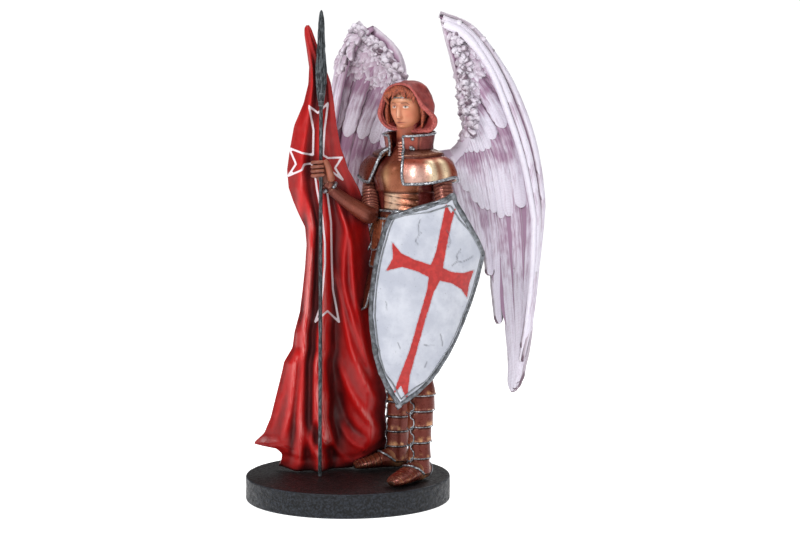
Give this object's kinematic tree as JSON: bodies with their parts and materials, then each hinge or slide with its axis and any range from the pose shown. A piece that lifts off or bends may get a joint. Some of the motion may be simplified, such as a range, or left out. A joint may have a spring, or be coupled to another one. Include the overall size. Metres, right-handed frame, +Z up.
{
  "type": "archangel statuette",
  "caption": "Standing winged knight statuette in a hood and armour, with a hanging banner, a spear and a pointed shield, on a round plinth.",
  "frame": {"origin": "centre of the plinth's flat underside", "axes": "+Z up, -Y towards the front of the picture, +X to the right of that front view"},
  "size_m": [0.2045, 0.14, 0.3318],
  "materials": {
    "plinth": "black painted resin with a blue-grey dry-brushed sheen",
    "figure": "copper and red metallic paint on cast resin with silver trims",
    "banner": "glossy red painted resin with a white outlined cross",
    "spear": "gunmetal paint, dry-brushed silver",
    "shield": "cracked off-white paint with a red cross and a dark silver rim",
    "wings": "white painted resin with a mauve wash in the recesses"
  },
  "bodies": {
    "root": {"plinth": "plinth", "figure": "figure", "banner": "banner", "spear": "spear", "shield": "shield", "wing_left": "wings", "wing_right": "wings"}
  },
  "joints": []
}
